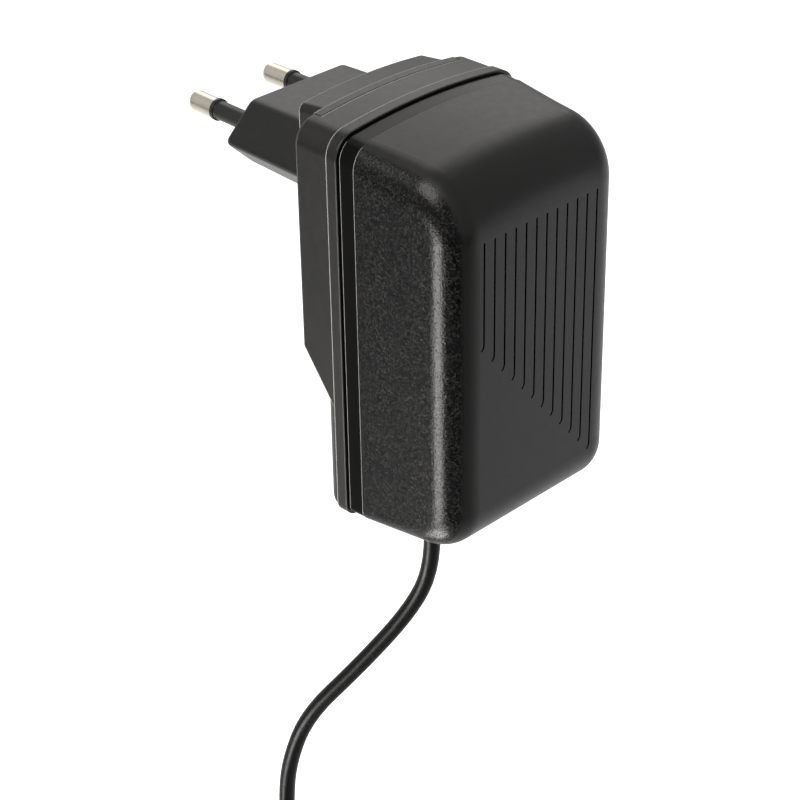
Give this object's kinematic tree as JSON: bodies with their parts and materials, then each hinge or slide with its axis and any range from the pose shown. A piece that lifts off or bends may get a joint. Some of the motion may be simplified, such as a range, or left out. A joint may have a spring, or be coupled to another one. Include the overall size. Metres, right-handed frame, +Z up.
{
  "type": "usb-c wall power supply",
  "caption": "Plug-in wall power supply: arched two-shell housing with a round-pin flat plug on the back and a thin cord to a USB-C plug.",
  "frame": {"origin": "centre of the plug block's engagement face, midway between the two contact pins", "axes": "+Y along the contact pins into the wall socket, +Z up, +X to the right seen from the front"},
  "size_m": [0.0951, 0.0808, 0.2407],
  "materials": {
    "housing_grained": "black moulded plastic, grained side panels, satin front",
    "housing_satin": "black moulded plastic, fine satin texture",
    "pin_metal": "nickel plated brass, warm satin shine",
    "sleeve_plastic": "black satin insulation",
    "cord_jacket": "smooth black cord jacket, soft satin",
    "spring_bronze": "phosphor bronze",
    "board_laminate": "green board laminate",
    "ferrite": "dark sintered ferrite",
    "bobbin_plastic": "black bobbin plastic",
    "winding_tape": "yellow insulating tape",
    "capacitor_sleeve": "shrink sleeve",
    "component_plastic": "moulded component package",
    "film_capacitor": "yellow potted box",
    "disc_ceramic": "blue lacquered ceramic",
    "card": "insulating card",
    "lead_copper": "insulated lead",
    "usb_steel": "drawn stainless steel",
    "usb_insert": "black contact insert",
    "tie_fabric": "black reusable tie"
  },
  "bodies": {
    "root": {"front_shell": "housing_grained", "rear_shell": "housing_satin", "plug_insert": "housing_satin", "contact_pin_left": "pin_metal", "contact_pin_right": "pin_metal", "pin_sleeve_left": "sleeve_plastic", "pin_sleeve_right": "sleeve_plastic", "contact_spring_left": "spring_bronze", "contact_spring_right": "spring_bronze", "main_board": "board_laminate", "transformer_core_lower": "ferrite", "transformer_core_upper": "ferrite", "transformer_bobbin": "bobbin_plastic", "transformer_winding": "winding_tape", "fuse": "component_plastic", "x_capacitor": "film_capacitor", "line_choke": "ferrite", "bridge_rectifier": "component_plastic", "mains_capacitor": "capacitor_sleeve", "insulating_barrier": "card", "y_capacitor": "disc_ceramic", "optocoupler": "component_plastic", "output_capacitor_left": "capacitor_sleeve", "output_capacitor_right": "capacitor_sleeve", "output_rectifier": "component_plastic", "controller_chip": "component_plastic", "switching_transistor": "component_plastic", "output_lead_plus": "lead_copper", "output_lead_minus": "lead_copper", "strain_relief": "cord_jacket", "cord": "cord_jacket", "cord_coil": "cord_jacket", "cord_tie": "tie_fabric", "usb_c_overmould": "sleeve_plastic", "usb_c_shell": "usb_steel", "usb_c_contacts": "usb_insert"}
  },
  "joints": []
}
